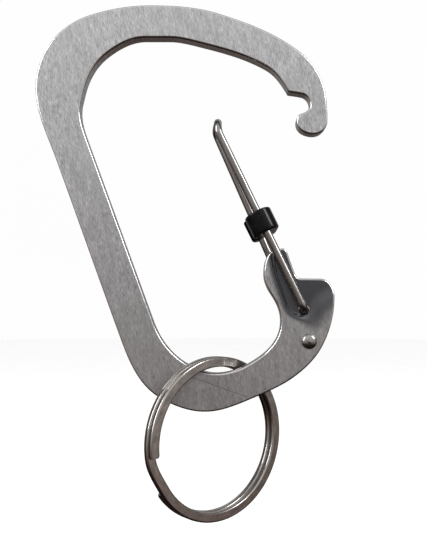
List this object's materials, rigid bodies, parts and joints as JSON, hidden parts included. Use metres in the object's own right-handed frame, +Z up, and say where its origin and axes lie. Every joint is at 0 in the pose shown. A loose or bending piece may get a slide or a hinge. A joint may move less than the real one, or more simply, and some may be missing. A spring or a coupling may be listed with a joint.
{
  "type": "carabiner keyring",
  "caption": "Flat steel carabiner with a sprung wire gate, a lock that slides along the gate, and a split key ring hanging on its lower bar.",
  "frame": {"origin": "top of the inner arch, in the middle of the plate's thickness, where a peg or belt loop bears", "axes": "+Z up along the closed gate, towards the crown; -Y out of the front face; +X from the spine towards the gate"},
  "size_m": [0.0561, 0.0212, 0.097],
  "materials": {
    "brushed_steel": "fine brushed, polished edges",
    "polished_wire": "drawn and polished stainless wire",
    "black_plastic": "gloss moulded",
    "nickel_ring": "nickel plated, worn"
  },
  "bodies": {
    "plate": {"body_plate": "brushed_steel"},
    "gate_front": {"gate_wire_front": "polished_wire"},
    "gate_rear": {"gate_wire_rear": "polished_wire"},
    "lock": {"slide_lock": "black_plastic"},
    "ring": {"split_ring": "nickel_ring"}
  },
  "joints": [
    {"name": "gate_hinge", "type": "hinge", "parent": "plate", "child": "gate_front", "pos_m": [0.02888, 0, -0.051], "axis": [0, 1, 0], "range_deg": [-2, 24.6], "stiffness_Nm_per_rad": 0.02, "springref_deg": 34.38},
    {"name": "gate_twist", "type": "hinge", "parent": "gate_front", "child": "gate_rear", "pos_m": [0.0127, 0, -0.01575], "axis": [0, 1, 0], "range_deg": [-4, 1]},
    {"name": "lock_slide", "type": "slide", "parent": "gate_front", "child": "lock", "axis": [-0.4382, 0, 0.8989], "range_m": [-0.0028, 0.0122]},
    {"name": "ring_swing", "type": "hinge", "parent": "plate", "child": "ring", "pos_m": [0.01234, 0, -0.061], "axis": [0.7771, 0.6293, 0], "range_deg": [-50, 50]}
  ],
  "couplings": [
    {"joint": "gate_twist", "follows": "gate_hinge", "ratio": -0.1338}
  ]
}
